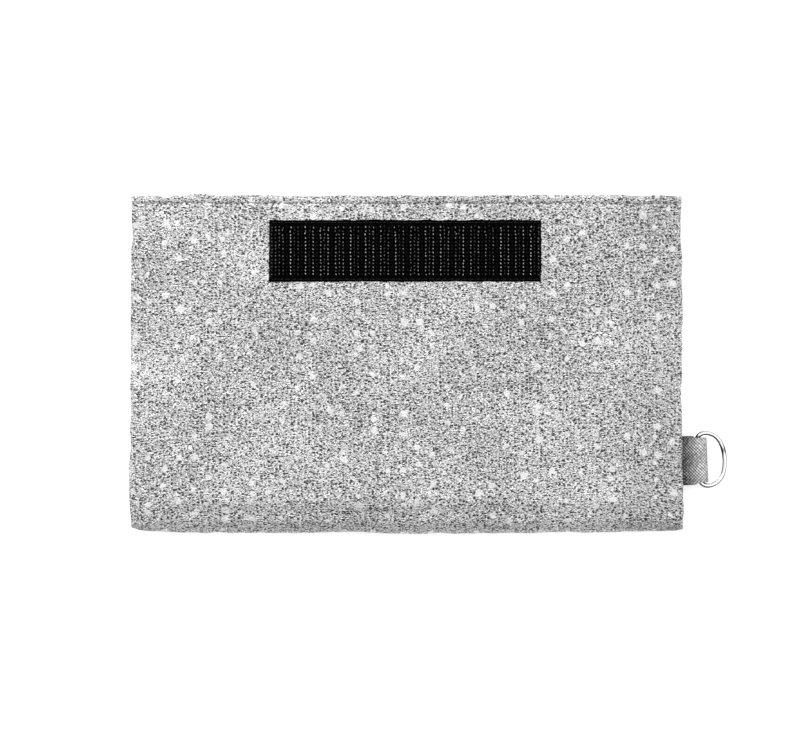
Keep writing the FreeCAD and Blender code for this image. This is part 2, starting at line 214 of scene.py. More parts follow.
def add_mesh(name, points, faces, material, rest=None, tone=None):
    """points in millimetres, in the frame. rest is where each point is on the flat cloth."""
    mesh = bpy.data.meshes.new(name)
    mesh.from_pydata((points.reshape(-1, 3) * MM).tolist(), [], faces.tolist())
    if rest is not None:
        attribute = mesh.attributes.new("rest", "FLOAT_VECTOR", "POINT")
        attribute.data.foreach_set("vector", (rest * MM).astype(np.float32).ravel())
    if tone is not None:
        attribute = mesh.attributes.new("tone", "FLOAT", "POINT")
        attribute.data.foreach_set("value", tone.astype(np.float32).ravel())
    mesh.validate()
    mesh.polygons.foreach_set("use_smooth", [True] * len(mesh.polygons))
    mesh.materials.append(material)
    o = add_object(name, mesh)
    return o


def solidify(o, thickness, offset=-1.0):
    """Gives a surface real thickness, in millimetres, and keeps the mesh that results."""
    modifier = o.modifiers.new("thickness", "SOLIDIFY")
    modifier.thickness = thickness * MM
    modifier.offset = offset
    bpy.context.view_layer.update()
    solid = bpy.data.meshes.new_from_object(o.evaluated_get(bpy.context.evaluated_depsgraph_get()))
    o.modifiers.clear()
    o.data = solid
    return o


def grid_faces(rows, columns, keep=None):
    i, j = np.meshgrid(np.arange(rows - 1), np.arange(columns - 1), indexing="ij")
    if keep is not None:
        i, j = i[keep], j[keep]
    a = (i * columns + j).ravel()
    return np.stack([a, a + columns, a + columns + 1, a + 1], axis=1)


def grid_normals(p):
    return unit(np.cross(np.gradient(p, axis=0), np.gradient(p, axis=1)))


def grid_piece(name, p, rest, material, thickness, keep=None):
    """A grid of points made solid. Points that no kept face uses are dropped."""
    used, faces = np.unique(grid_faces(*p.shape[:2], keep), return_inverse=True)
    points, rest = p.reshape(-1, 3)[used], rest.reshape(-1, 3)[used]
    o = add_mesh(name, points, faces.reshape(-1, 4), material, rest)
    return solidify(o, thickness)


def scatter(name, template, faces, frames, places, material, sizes=1.0, tone=None):
    """Copies of one small mesh. frames has the template's axes at each place as rows."""
    count, each = len(places), len(template)
    local = np.broadcast_to(template * sizes, (count, each, 3))
    points = np.einsum("nki,nij->nkj", local, frames) + places[:, None, :]
    all_faces = (faces[None] + np.arange(count)[:, None, None] * each).reshape(-1, faces.shape[1])
    return add_mesh(name, points, all_faces, material, local, tone)


def around(sides):
    return np.arange(sides) * 2 * pi / sides


def rings(path, radius, side, up, sides):
    """Rings of points round a path. side and up are the cross directions at each of its points."""
    angle = around(sides)[None, :, None]
    return path[:, None] + (np.cos(angle) * side[:, None] + np.sin(angle) * up[:, None]) * radius


def ring_faces(count, sides, closed=False):
    """Faces from each ring to the next, and from the last to the first if closed."""
    i, k = np.meshgrid(np.arange(count if closed else count - 1), np.arange(sides), indexing="ij")
    here, there, beside = i * sides, (i + 1) % count * sides, (k + 1) % sides
    return np.stack([here + k, here + beside, there + beside, there + k], axis=2).reshape(-1, 4)


def tube(path, radius, sides, taper=1.0):
    """Points and faces of a tube with open ends. taper is the radius's share at each point."""
    tangent = unit(np.gradient(path, axis=0))
    guide = np.array([0.0, 1.0, 0.0]) if abs(tangent[:, 1]).max() < 0.9 else np.array([1.0, 0.0, 0.0])
    side = unit(np.cross(tangent, guide))
    radii = radius * np.broadcast_to(taper, len(path))[:, None, None]
    points = rings(path, radii, side, np.cross(side, tangent), sides)
    return points.reshape(-1, 3), ring_faces(len(path), sides)


# ---- materials


def new_material(name):
    material = bpy.data.materials.new(name)
    material.use_nodes = True
    return material, material.node_tree


def plug(tree, made, inputs):
    """Links each input that is given a socket, and sets each one that is given a number or colour."""
    for key, value in inputs.items():
        if isinstance(value, bpy.types.NodeSocket):
            tree.links.new(value, made.inputs[key])
        else:
            made.inputs[key].default_value = value


def dressed(material, inputs):
    """The material, once its own shader's inputs are set."""
    tree = material.node_tree
    plug(tree, tree.nodes["Principled BSDF"], inputs)
    return material


def node(tree, kind, inputs=None, **settings):
    made = tree.nodes.new("ShaderNode" + kind)
    for key, value in settings.items():
        setattr(made, key, value)
    plug(tree, made, inputs or {})
    return made


def rest_vector(tree, scale=(1.0, 1.0, 1.0)):
    """The place on the flat cloth, in metres times scale."""
    place = node(tree, "Attribute", attribute_name="rest", attribute_type="GEOMETRY")
    return node(tree, "Mapping", {"Vector": place.outputs["Vector"], "Scale": scale}).outputs["Vector"]


def tone_value(tree):
    return node(tree, "Attribute", attribute_name="tone", attribute_type="GEOMETRY").outputs["Fac"]


def noise(tree, vector, scale, detail=1.0, roughness=0.5, distortion=0.0):
    shape = {"Scale": scale, "Detail": detail, "Roughness": roughness, "Distortion": distortion}
    return node(tree, "TexNoise", {"Vector": vector, **shape}).outputs["Fac"]


def math_node(tree, operation, a, b=0.0, clamp=False):
    return node(tree, "Math", {0: a, 1: b}, operation=operation, use_clamp=clamp).outputs[0]


def weighted(tree, parts, start=0.0):
    """start plus each value times its weight."""
    total = start
    for value, weight in parts:
        total = node(tree, "Math", {0: value, 1: weight, 2: total}, operation="MULTIPLY_ADD").outputs[0]
    return total


def ramp(tree, value, stops):
    """A colour ramp. Each stop is a position and a grey value or colour."""
    made = node(tree, "ValToRGB", {"Fac": value})
    elements = made.color_ramp.elements
    while len(elements) < len(stops):
        elements.new(1.0)
    for element, (position, colour) in zip(elements, stops):
        element.position = position
        element.color = (*np.broadcast_to(colour, 3), 1.0)
    return made.outputs["Color"]


def bump(tree, height, distance, strength=0.8):
    inputs = {"Height": height, "Distance": distance * MM, "Strength": strength}
    return node(tree, "Bump", inputs).outputs["Normal"]


def bent(tree, place, scale, reach):
    """The place moved about by noise, in metres, so that what is drawn there has uneven outlines."""
    wander = node(tree, "TexNoise", {"Vector": place, "Scale": scale, "Detail": 1.0}).outputs["Color"]
    moved = {0: wander, 1: (reach, reach, 0.0), 2: place}
    return node(tree, "VectorMath", moved, operation="MULTIPLY_ADD").outputs["Vector"]


def spots(tree, place, scale, luck_weight, size, sharpness):
    """Scattered round spots, 1 inside and 0 outside. Each one's radius is size plus luck's share."""
    cells = node(tree, "TexVoronoi", {"Vector": place, "Scale": scale}, voronoi_dimensions="2D")
    luck = node(tree, "SeparateColor", {"Color": cells.outputs["Color"]}).outputs["Red"]
    radius = weighted(tree, [(luck, luck_weight)], size)
    inside = math_node(tree, "SUBTRACT", radius, cells.outputs["Distance"])
    return math_node(tree, "MULTIPLY", inside, sharpness, clamp=True)


def band(tree, along, middle, height, fall):
    """height at the middle, falling by fall for each metre away from it, and kept between 0 and 1."""
    away = math_node(tree, "ABSOLUTE", math_node(tree, "SUBTRACT", along, middle * MM))
    return math_node(tree, "SUBTRACT", height, math_node(tree, "MULTIPLY", away, fall), clamp=True)


def silver_cloth(fold_at, stitched_at):
    """Aluminium film on glass cloth: light grains, short creases darkened by painted shade, round flakes, and
    slow changes.

    fold_at and stitched_at are how far along the strip the bottom fold's middle and the mouth's stitches are.
    Painted shade darkens the film and its creases at the fold, and along the groove of the stitches.
    """
    material, tree = new_material("silver_cloth")
    long = rest_vector(tree, (0.55, 1.0, 1.0))
    flat = rest_vector(tree, (0.68, 1.0, 1.0))
    even = rest_vector(tree)
    grain = noise(tree, flat, 2000.0, 1.0, 0.5, 0.4)
    middle = noise(tree, flat, 560.0, 1.0, 0.5, 0.2)
    coarse = noise(tree, even, 130.0, 1.0, 0.6)
    broad = noise(tree, even, 22.0)
    # the pits are painted shade in the creases of the crinkles
    painted_crease_shade = spots(tree, bent(tree, long, 800.0, 0.0011), 1200.0, 0.34, 0.10, 8.0)
    along = node(tree, "SeparateXYZ", {0: even}).outputs["Y"]
    # painted shade where the bottom fold curves away, darkest at the fold's middle
    painted_shade = band(tree, along, fold_at, 2.8, 200.0)
    painted_fold_crease_shade = math_node(tree, "MULTIPLY", painted_shade, painted_crease_shade)
    # painted shade of the groove along the mouth's stitches
    painted_stitch_shade = band(tree, along, stitched_at, 1.0, 1400.0)
    flake = spots(tree, bent(tree, even, 500.0, 0.0013), 165.0, 0.40, -0.10, 10.0)
    weights = [
        (grain, 1.80), (middle, 0.34), (coarse, 0.12), (broad, 0.28),
        (painted_crease_shade, -0.68), (painted_fold_crease_shade, -0.42), (painted_shade, -0.035), (painted_stitch_shade, -0.16),
    ]
    film = weighted(tree, weights, -0.60)
    flake_cover, flake_light = math_node(tree, "MULTIPLY", flake, 0.78), 0.85
    light = node(tree, "Mix", {0: flake_cover, 2: film, 3: flake_light}).outputs[0]
    greys = [(0.0, 0.03), (0.2, 0.09), (0.4, 0.22), (0.55, 0.40), (0.7, 0.60), (0.85, 0.80), (1.0, 0.93)]
    return dressed(material, {
        "Base Color": ramp(tree, light, greys),
        "Roughness": ramp(tree, light, [(0.2, 0.60), (0.9, 0.36)]),
        "Metallic": 0.5,
        "Normal": bump(tree, light, 0.32, 0.85),
    })


def woven(tree, vector, pitch):
    """Height of a plain weave with that yarn pitch, in millimetres, from two crossed waves."""
    inputs = {"Vector": vector, "Scale": 1 / (2 * pitch * MM)}
    waves = [node(tree, "TexWave", inputs, bands_direction=axis).outputs["Fac"] for axis in "XY"]
    return math_node(tree, "MULTIPLY", *waves)


def liner_cloth():
    """Plain woven glass cloth."""
    material, tree = new_material("liner_cloth")
    place = rest_vector(tree)
    slub = noise(tree, place, 260.0, 2.0, 0.6)
    shade = noise(tree, place, 30.0, 2.0)
    light = weighted(tree, [(woven(tree, place, 0.9), 0.6), (slub, 0.5), (shade, 0.2)])
    colours = [(0.2, (0.38, 0.37, 0.34)), (0.6, (0.66, 0.645, 0.60)), (1.0, (0.80, 0.79, 0.75))]
    return dressed(material, {
        "Base Color": ramp(tree, light, colours),
        "Roughness": 0.85,
        "Sheen Weight": 0.2,
        "Normal": bump(tree, light, 0.25),
    })


STRAND = 0.55  # pitch of a thread's strands


def thread(name, dark, light):
    """Twisted thread: slanting strands along local x of the rest place."""
    material, tree = new_material(name)
    place = rest_vector(tree)
    twist = {"Vector": place, "Scale": 1000.0 / STRAND / 6.0, "Distortion": 1.5, "Detail": 1.0}
    strands = node(tree, "TexWave", twist, bands_direction="DIAGONAL").outputs["Fac"]
    height = weighted(tree, [(strands, 0.6), (noise(tree, place, 1800.0, 2.0, 0.6), 0.4)])
    return dressed(material, {
        "Base Color": ramp(tree, height, [(0.2, dark), (0.8, light)]),
        "Roughness": 0.6,
        "Specular IOR Level": 0.1,
        "Normal": bump(tree, height, 0.1),
    })


def nylon_tape(name, dark, light):
    """Woven nylon: close ribs across the tape's length, with a crossed weft."""
    material, tree = new_material(name)
    place = rest_vector(tree)
    height = weighted(tree, [(woven(tree, place, 0.7), 0.7), (noise(tree, place, 900.0, 2.0, 0.6), 0.45)])
    return dressed(material, {
        "Base Color": ramp(tree, height, [(0.25, dark), (0.95, light)]),
        "Roughness": 0.7,
        "Specular IOR Level": 0.02,
        "Normal": bump(tree, height, 0.12),
    })


def monofilament():
    """Black nylon hooks. tone is a painted highlight over each hook's crown, brighter on some columns than on
    others.
    """
    material, tree = new_material("hooks")
    scuff = noise(tree, rest_vector(tree), 1500.0, 2.0, 0.6)
    # tone is painted highlight, broken up by scuffs
    light = math_node(tree, "MULTIPLY", tone_value(tree), math_node(tree, "ADD", scuff, 0.5))
    return dressed(material, {
        "Base Color": ramp(tree, light, [(0.0, 0.0005), (0.3, 0.035), (1.0, 0.55)]),
        "Roughness": ramp(tree, scuff, [(0.3, 0.28), (0.7, 0.45)]),
        "Specular IOR Level": 0.08,
    })


def pile():
    material, tree = new_material("loop_pile")
    fuzz = noise(tree, rest_vector(tree), 1300.0, 3.0, 0.7)
    return dressed(material, {
        "Base Color": ramp(tree, fuzz, [(0.3, 0.008), (0.7, 0.035)]),
        "Roughness": 0.75,
        "Sheen Weight": 0.5,
        "Normal": bump(tree, fuzz, 0.08),
    })


def webbing_material():
    """Twill webbing. tone is the height of the weave at each point, with painted shade that darkens it in the
    seam.
    """
    material, tree = new_material("webbing")
    fibre = noise(tree, rest_vector(tree, (1.0, 4.0, 1.0)), 900.0, 2.0, 0.6)
    stain = noise(tree, rest_vector(tree), 160.0, 2.0)
    light = weighted(tree, [(tone_value(tree), 1.0), (fibre, 0.25), (stain, 0.15)], -0.20)
    greys = [(0.0, 0.005), (0.25, 0.045), (0.5, 0.19), (0.75, 0.46), (1.0, 0.88)]
    return dressed(material, {
        "Base Color": ramp(tree, light, greys),
        "Roughness": 0.7,
        "Specular IOR Level": 0.2,
        "Normal": bump(tree, fibre, 0.06),
    })


def ring_metal():
    """Bright plated wire. tone is how much painted dark reflection each point has."""
    material, tree = new_material("ring_metal")
    scratch = noise(tree, rest_vector(tree, (6.0, 1.0, 1.0)), 300.0, 3.0, 0.6)
    bright = ramp(tree, noise(tree, rest_vector(tree), 120.0, 2.0), [(0.3, 0.82), (0.7, 0.93)])
    # the base colour goes towards black by the painted dark reflection in tone
    painted_reflection_mix = {0: tone_value(tree), 6: bright, 7: (0.012, 0.012, 0.012, 1.0)}
    return dressed(material, {
        "Base Color": node(tree, "Mix", painted_reflection_mix, data_type="RGBA").outputs[2],
        "Roughness": ramp(tree, scratch, [(0.3, 0.05), (0.75, 0.16)]),
        "Metallic": 1.0,
        "Normal": bump(tree, scratch, 0.01, 0.3),
    })


def floor_material():
    material, tree = new_material("floor")
    mottle = noise(tree, node(tree, "TexCoord").outputs["Object"], 8.0, 3.0)
    return dressed(material, {
        "Base Color": ramp(tree, mottle, [(0.3, 0.93), (0.7, 0.95)]),
        "Roughness": 0.9,
        "Specular IOR Level": 0.1,
        "Emission Color": (1.0, 1.0, 1.0, 1.0),
        "Emission Strength": 0.48,
    })


LINER_CLOTH = liner_cloth()
THREAD = thread("thread", 0.10, 0.38)
SEAM_THREAD = thread("seam_thread", (0.35, 0.35, 0.34), (0.72, 0.72, 0.70))
TAPE_THREAD = thread("tape_thread", 0.004, 0.04)
HOOK_TAPE = nylon_tape("hook_tape", 0.0001, 0.0025)
LOOP_TAPE = nylon_tape("loop_tape", 0.001, 0.012)
HOOKS = monofilament()
PILE = pile()
WEBBING_CLOTH = webbing_material()
RING_METAL = ring_metal()

# ---- the bag's strip of cloth

LIP_STEPS = 8
LIP_X = HALF_WIDTH - LIP
lip_angle = np.radians(90 - np.arange(1, LIP_STEPS + 1) * 180 / LIP_STEPS)
flat_x = np.linspace(-LIP_X, LIP_X, 2 * int(LIP_X) + 1)
col_x = both_sides(LIP_X + LIP * np.cos(lip_angle), flat_x)
col_s = both_sides(LIP_X + LIP * (pi / 2 - lip_angle), flat_x)
core_x = np.clip(col_x, -LIP_X, LIP_X)
is_lip = np.zeros(len(col_x), bool)
is_lip[:LIP_STEPS] = is_lip[-LIP_STEPS:] = True
is_left = core_x < 0

slope = np.clip((np.abs(core_x) - FLAT_HALF) / (LIP_X - FLAT_HALF), 0, 1) ** SIDE_FALL
centre_z = DEPTH / 2 + (EDGE_Z - DEPTH / 2) * slope
radius = DEPTH / 2 + (EDGE_HALF - DEPTH / 2) * slope
radius[:LIP_STEPS] = LIP * (1 + np.sin(lip_angle[::-1]))
radius[-LIP_STEPS:] = LIP * (1 + np.sin(lip_angle))
radius = np.maximum(radius, LEAST_RADIUS)
corner_start = CORNER_START * np.where(is_left, LEFT_START, 1.0)
corner = np.clip((np.abs(core_x) - LIP_X + corner_start) / corner_start, 0, 1) ** 2
corner *= CORNER_ROUND * np.where(is_left, LEFT_ROUND, 1.0)
fold_y = FOLD_Y - DEPTH / 2 + np.where(is_lip, EDGE_HALF, radius) + corner
roll = np.where(is_lip, LIP, HEM_ROLL)
core_z = np.where(is_lip, EDGE_Z + LIP, centre_z + radius - HEM_ROLL)

# Each row of the grid is a kind and a value: a y on the hem, a turn's angle, or a share of a straight run.
MOUTH_TURN_Y = MOUTH_Y - HEM_ROLL
FINE_SHARE = 0.045  # the first part of the front, by the mouth's edge, has finer rows
kinds, values = row_list(
    ("hem", steps(MOUTH_Y - HEM, MOUTH_TURN_Y, 1.0)),
    ("mouth", np.radians(steps(180, 0, 15))),
    ("front", steps(0.0, FINE_SHARE, 0.0033)),
    ("front", steps(FINE_SHARE, 1.0, 0.0077)),
    ("fold", np.radians(steps(90, 270, 7.5))),
    ("back", steps(0.0, 1.0, 0.0078)),
    ("end", np.radians(np.linspace(0, 86, 8))),
)
FIRST_BACK = np.argmax(kinds == "back")

strip = np.zeros((len(kinds), len(col_x), 3))
for i, (kind, value) in enumerate(zip(kinds, values)):
    x, z = col_x.copy(), centre_z + radius
    y = np.full(len(col_x), MOUTH_TURN_Y)
    if kind == "hem":
        y[:] = value
        z = 2 * core_z - z
        x = 2 * core_x - col_x
    elif kind == "mouth":
        turn = cos(value)
        z = core_z + (z - core_z) * turn
        x = core_x + (col_x - core_x) * turn
        y = MOUTH_TURN_Y + roll * sin(value)
    elif kind == "front":
        y = MOUTH_TURN_Y + (fold_y - MOUTH_TURN_Y) * value
    elif kind == "fold":
        y = fold_y + radius * cos(value)
        z = centre_z + radius * sin(value)
    else:
        share = value if kind == "back" else 1.0
        y = fold_y + (BACK_END_Y - fold_y) * share
        z = centre_z - radius + RECESS_Z * ease((y + STEP_HALF) / (2 * STEP_HALF)) * (1 - slope)
        if kind == "end":
            back_core = np.where(is_lip, EDGE_Z - LIP, z + LIP)
            z = back_core + (z - back_core) * cos(value)
            x = core_x + (col_x - core_x) * cos(value)
            y = y + LIP * sin(value)
    strip[i] = np.stack([x, y, z], axis=1)

middle_column = len(col_x) // 2
row_t = lengths(strip[:, middle_column])
BACK_END_T = row_t[np.flatnonzero(kinds == "back")[-1]]
S, T = np.meshgrid(col_s, row_t)
strip_rest = level(S, T)
MOUTH_STITCH_Y = MOUTH_Y - MOUTH_STITCH_IN
NOT_FRONT = 99.0  # added to a row's distance, to leave that row out
stitch_row = np.argmin(np.abs(strip[:, middle_column, 1] - MOUTH_STITCH_Y) + NOT_FRONT * (kinds != "front"))
SILVER = silver_cloth(row_t[kinds == "fold"].mean(), row_t[stitch_row])

# Uneven edges: the sides, the mouth and the bottom
x, y = strip[..., 0], strip[..., 1]
left_pull = np.where(x < 0, 1.3 * ease((-55 - y) / 8), 0.0)
widen = SIDE_BULGE * ease((-25 - y) / 30) * (1 - left_pull) - SIDE_WAIST * bell((y - WAIST_Y) / WAIST_REACH)
widen += 0.15 * sample(EDGE_WAVE, 40 * np.sign(x), T)
x += np.sign(x) * ease((np.abs(x) - 96) / 14) * widen
y += ease((y - 56) / 10) * (kinds != "back")[:, None] * 0.11 * sample(EDGE_WAVE, S, 150.0)
bow = BOTTOM_BOW * ((x / HALF_WIDTH) ** 2 - 0.35)
y += ease((-56 - y) / 8) * (0.13 * sample(EDGE_WAVE, S, 330.0) + bow)


def over_tape(x, y, low, high, grow):
    """1 over a tape and grow further, falling softly to 0."""
    beside = window(x, low[0] - SHIFT_X - grow, high[0] - SHIFT_X + grow, 4)
    return beside * window(y, low[1] - grow, high[1] + grow, 4)


# The cloth lies flat under the hook tape, puckers round it, and is drawn in along the stitches.
on_front_rows = (kinds == "front")[:, None]
under_tape = over_tape(x, y, TAPE_LOW, TAPE_HIGH, 1) * on_front_rows
pucker = over_tape(x, y, TAPE_LOW, TAPE_HIGH, 4.5) * on_front_rows - under_tape
height = creases(S, T) * (1 - 0.97 * under_tape) * (1 - 0.75 * is_lip)
height += 0.12 * pucker * sample(CRINKLE, S * 1.3, T * 1.3)
seam_ripple = ease((np.abs(x) - 98) / 12) * ~is_lip
height += 0.13 * seam_ripple * sample(CRUMPLE, S * 0.25, T * 1.4)
stitch_line = bell((y - MOUTH_STITCH_Y) / 0.55) * on_front_rows
height -= stitch_line * (0.24 + 0.26 * ease((-60 - x) / 40))  # drawn in more at the left
height += 0.06 * bell(y - (MOUTH_Y - 1.3)) * on_front_rows * sample(CRUMPLE, S, 200.0)
# Empty cloth sags towards the bottom fold.
sag_y = ease(1 - (y - fold_y) / SAG_LENGTH) * on_front_rows
sag_turn = np.where(kinds == "fold", np.maximum(np.sin(values), 0.0), 0.0)
height -= SAG * (1 - slope) * (sag_y + sag_turn[:, None])
# The back stays within its room, and lies on the ground below the step.
back_room = np.isin(kinds, ["back", "end"])[:, None] & (y > -STEP_HALF)
height = np.where(back_room, np.minimum(height, 0.12) - 0.05, height)
on_ground = (kinds == "back")[:, None] & (y <= -STEP_HALF)
height = np.where(on_ground, np.minimum(height, 0.0) * 0.8, height)
strip_normal = grid_normals(strip)
strip += strip_normal * height[..., None]
strip[..., 2] = np.maximum(strip[..., 2], 0.0)
strip[..., 0] += SHIFT_X

# The hem stops at the side seams, and the back's end is open for the flap.
face_kind = kinds[:-1]
face_column = np.abs((core_x[:-1] + core_x[1:]) / 2)
keep = np.ones((len(kinds) - 1, len(col_x) - 1), bool)
inside_turn = (face_kind == "hem") | ((face_kind == "mouth") & (values[:-1] > radians(91)))
keep[np.ix_(inside_turn, face_column > HALF_WIDTH - SEAM - 0.5)] = False
keep[np.ix_(face_kind == "end", face_column < FLAP_HALF)] = False

part = slice(0, FIRST_BACK + 1)
front_cloth = grid_piece("bag_front_cloth", strip[part], strip_rest[part], SILVER, CLOTH, keep[:FIRST_BACK])
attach(front_cloth, "bag")
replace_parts(front_cloth, "front_cloth", "bottom_fold_cloth", "mouth_hem")
part = slice(FIRST_BACK, len(kinds))
back_cloth = grid_piece("bag_back_cloth", strip[part], strip_rest[part], SILVER, CLOTH, keep[FIRST_BACK:])
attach(back_cloth, "bag")
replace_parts(back_cloth, "back_cloth", "back_recess_cloth")

# The liner follows the cloth's inner side.
part = np.ix_(
    np.flatnonzero(np.isin(kinds, ["front", "fold", "back"]))[::2], np.flatnonzero(~is_lip)[1:-1:2]
)
liner_points = (strip - strip_normal * (CLOTH + 0.03))[part]
bag_liner = grid_piece("bag_liner", liner_points, strip_rest[part], LINER_CLOTH, LINER - 0.05)
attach(bag_liner, "bag")
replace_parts(bag_liner, "front_liner", "bottom_fold_liner", "back_liner")


def on_front(x, y):
    """The front's outer surface over a frame x and y, by the nearest grid point, with its normal."""
    inner_x = col_x[LIP_STEPS:-LIP_STEPS] + SHIFT_X
    column = np.argmin(np.abs(inner_x - x[:, None]), axis=1) + LIP_STEPS
    found = np.flatnonzero(kinds == "front")
    row = found[np.argmin(np.abs(strip[found][:, column, 1].T - y), axis=1)]
    return strip[row, column], strip_normal[row, column]


# ---- stitches

UP, DOWN = np.array([0.0, 0.0, 1.0]), np.array([0.0, 0.0, -1.0])
STITCH_SIDES = 6


def stitch_template(length, thick):
    """One stitch along x, bowed up in the middle, with its ends sunk."""
    along = np.linspace(-0.5, 0.5, 7)
    path = np.stack([along * length, 0 * along, thick * (0.55 - 1.3 * (2 * along) ** 4)], axis=1)
    return tube(path, thick / 2, STITCH_SIDES, [0.35, 0.8, 1.0, 1.0, 1.0, 0.8, 0.35])


def stitches(name, places, tangents, normals, length, thick, material):
    """Separate stitches at the places, each lying nearly along its tangent."""
    template, faces = stitch_template(length, thick)
    x = unit(tangents)
    z = unit(normals - (normals * x).sum(1, keepdims=True) * x)
    wobble = np.random.default_rng(5).normal(0, 0.03, len(x))
    x = unit(x + wobble[:, None] * np.cross(z, x))
    frames = np.stack([x, np.cross(z, x), z], axis=1)
    return scatter(name, template, faces, frames, places, material)


def stitch_runs(corners, pitch):
    """Centres and directions of the stitches along straight lines from each corner to the next."""
    corners = np.array(corners, float)
    places, directions = [], []
    for start, end in zip(corners, corners[1:]):
        count = max(1, int(np.linalg.norm(end - start) / pitch))
        share = (np.arange(count) + 0.5) / count
        places.append(start + (end - start) * share[:, None])
        directions.append(np.repeat([end - start], count, axis=0))
    return np.concatenate(places), np.concatenate(directions)


def tape_outline(low, high, z, pitch):
    """Stitches round a tape, just inside its edges."""
    x0, x1, y0, y1 = low[0] + 0.75, high[0] - 0.75, low[1] + 1.0, high[1] - 1.0
    return stitch_runs([(x0, y0, z), (x1, y0, z), (x1, y1, z), (x0, y1, z), (x0, y0, z)], pitch)


mouth_x = np.arange(-HALF_WIDTH + 3, HALF_WIDTH - 3, 2.9) + SHIFT_X
mouth_places, mouth_normals = on_front(mouth_x, MOUTH_STITCH_Y)
mouth_stitch = stitches(
    "mouth_hem_stitches", mouth_places - mouth_normals * 0.02, np.gradient(mouth_places, axis=0),
    mouth_normals, 2.3, 0.34, THREAD,
)
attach(mouth_stitch, "bag")
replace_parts(mouth_stitch, "mouth_hem_stitch")

# ---- seams inside the sides


def seam_strip(name, node_name, side):
    """Both allowances of one side seam, rippled along their raw inner edges."""
    low, high = corner_mm(node_name)
    outer, inner = (high[0] - 1.5 * LIP, low[0]) if side > 0 else (low[0] + 1.5 * LIP, high[0])
    u, y = np.meshgrid(np.linspace(0, 1, 9), np.linspace(low[1], high[1], 110))
    pieces = []
    for layer in (-1, 1):
        ripple = 0.12 * sample(CRUMPLE, 300 + 60 * layer, y) * u
        fray = 0.35 * sample(CRINKLE, 100 * layer, y * 1.7) * (u > 0.95)
        x = outer + (inner - outer) * u + fray * side
        z = EDGE_Z + layer * (0.36 + 0.12 * u**2) + ripple * 0.4
        pieces.append(np.stack([x, y, z], axis=2))
    points = np.concatenate(pieces).reshape(-1, 3)
    faces = grid_faces(*u.shape)
    o = add_mesh(name, points, np.concatenate([faces, faces + u.size]), LINER_CLOTH, points)
    solidify(o, 0.62, 0.0)
    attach(o, "bag")
    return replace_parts(o, node_name)


seam_strip("seam_allowance_left", "seam_left", -1)
seam_strip("seam_allowance_right", "seam_right", 1)
for word in ("left", "right"):
    low, high = corner_mm(f"seam_stitch_{word}")
    x, z = (low[0] + high[0]) / 2, low[2] + 0.1
    places, tangents = stitch_runs([(x, low[1], z), (x, high[1], z)], 2.8)
    row = stitches(f"seam_stitches_{word}", places, tangents, UP, 2.2, 0.36, SEAM_THREAD)
    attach(row, "bag")
    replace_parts(row, f"seam_stitch_{word}")

# ---- hook tape

TAPE_ROWS, TAPE_COLUMNS = 51, 185
TAPE_EDGE = 0.62  # thickness of a tape's edge, as a share of its middle's


def tape_base(name, low, high, face, material, seed):
    """A woven tape. face is 1 for a tape that faces up and -1 for one that faces down."""
    x, y = np.meshgrid(np.linspace(low[0], high[0], TAPE_COLUMNS), np.linspace(high[1], low[1], TAPE_ROWS))
    from_end = np.minimum(x - low[0], high[0] - x)
    edge = np.minimum(from_end, np.minimum(y - low[1], high[1] - y))
    soft = ease(edge / 0.5)
    ribs = 0.03 * np.sin(2 * pi * x / 1.54) * np.sin(2 * pi * y / 1.2)
    thick = (high[2] - low[2]) * (TAPE_EDGE + (1 - TAPE_EDGE) * soft) + ribs * soft
    thick = thick - 0.10 * bell((edge - 1.0) / 0.3)  # a groove along the stitches
    wander = 0.10 * sample(EDGE_WAVE, x * 1.7, y * 1.7 + seed) * (edge < 0.01)
    at_end = from_end < 0.01
    x = x + wander * at_end
    y = y + wander * ~at_end
    base = low[2] if face > 0 else high[2]
    top = np.stack([x, y, base + face * thick], axis=2)
    under = top.copy()
    under[..., 2] = base + face * 0.02
    faces = grid_faces(TAPE_ROWS, TAPE_COLUMNS)
    at = np.arange(x.size).reshape(x.shape)
    border = np.concatenate([at[:, 0], at[-1, 1:], at[-2::-1, -1], at[0, -2:0:-1]])
    after = np.roll(border, -1)
    rim = np.stack([border + x.size, after + x.size, after, border], axis=1)
    faces = np.concatenate([faces, faces[:, ::-1] + x.size, rim])
    return add_mesh(name, np.stack([top, under]), faces, material, np.stack([level(x, y)] * 2))


hook_tape = tape_base("hook_tape_base", TAPE_LOW, TAPE_HIGH, 1, HOOK_TAPE, 3)
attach(hook_tape, "bag")
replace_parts(hook_tape, "hook_tape")

HOOK_ROWS = 14
HOOK_COLUMNS = 72
HOOK_SIDES = 6
HOOK_CROWN = 0.30  # radius of a hook's crown, as a share of its height
# painted highlight along each hook, brightest over the crown
HOOK_PAINTED_HIGHLIGHT = [0.02, 0.03, 0.1, 0.6, 1.0, 1.0, 0.6, 0.15, 0.03]  # from the root, over the crown, to the tip
HOOK_TAPER = [1.2, 1, 1, 1, 1.05, 1.05, 1, 0.85, 0.5]
FIELD_LOW, FIELD_HIGH = corner_mm("hook_field")


def hook_template():
    """A J of monofilament that leans over along +x. Its height is 1."""
    points = [(0.0, 0.0, -0.05), (0.0, 0.0, 0.35)]
    for a in np.radians([180, 150, 110, 70, 30, -10, -45]):
        points.append((HOOK_CROWN * (1 + cos(a)), 0.0, 0.70 + HOOK_CROWN * sin(a)))
    points = np.array(points)
    points[:, 0] -= 0.25
    return tube(points, 0.20, HOOK_SIDES, HOOK_TAPER)


